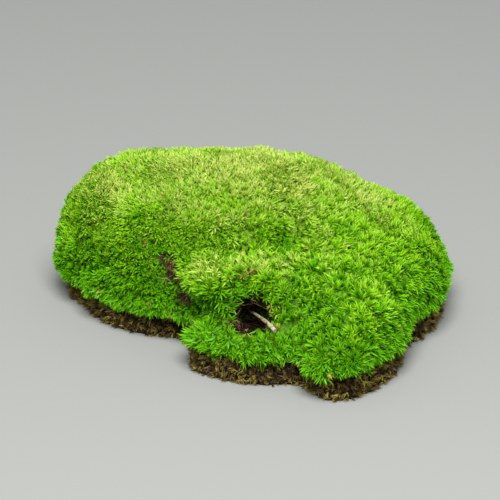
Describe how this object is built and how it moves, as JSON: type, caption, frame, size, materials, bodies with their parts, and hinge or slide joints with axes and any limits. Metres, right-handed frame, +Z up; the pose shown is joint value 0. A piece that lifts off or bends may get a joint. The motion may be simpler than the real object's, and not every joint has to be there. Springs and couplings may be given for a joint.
{
  "type": "moss clump",
  "caption": "Low domed clump of living cushion moss with a side lobe over a small hollow, on a thin flat humus mat.",
  "frame": {"origin": "middle of the flat underside of the humus mat, under the middle of the clump's box", "axes": "+Z up, +X to the clump's right as seen from its front tongue, +Y to its back"},
  "size_m": [0.216, 0.194, 0.088],
  "materials": {
    "moss": "matte",
    "humus": "matte",
    "dead_wood": "matte"
  },
  "bodies": {
    "root": {"moss_cushion": "moss", "humus_mat": "humus", "twig": "dead_wood"}
  },
  "joints": []
}
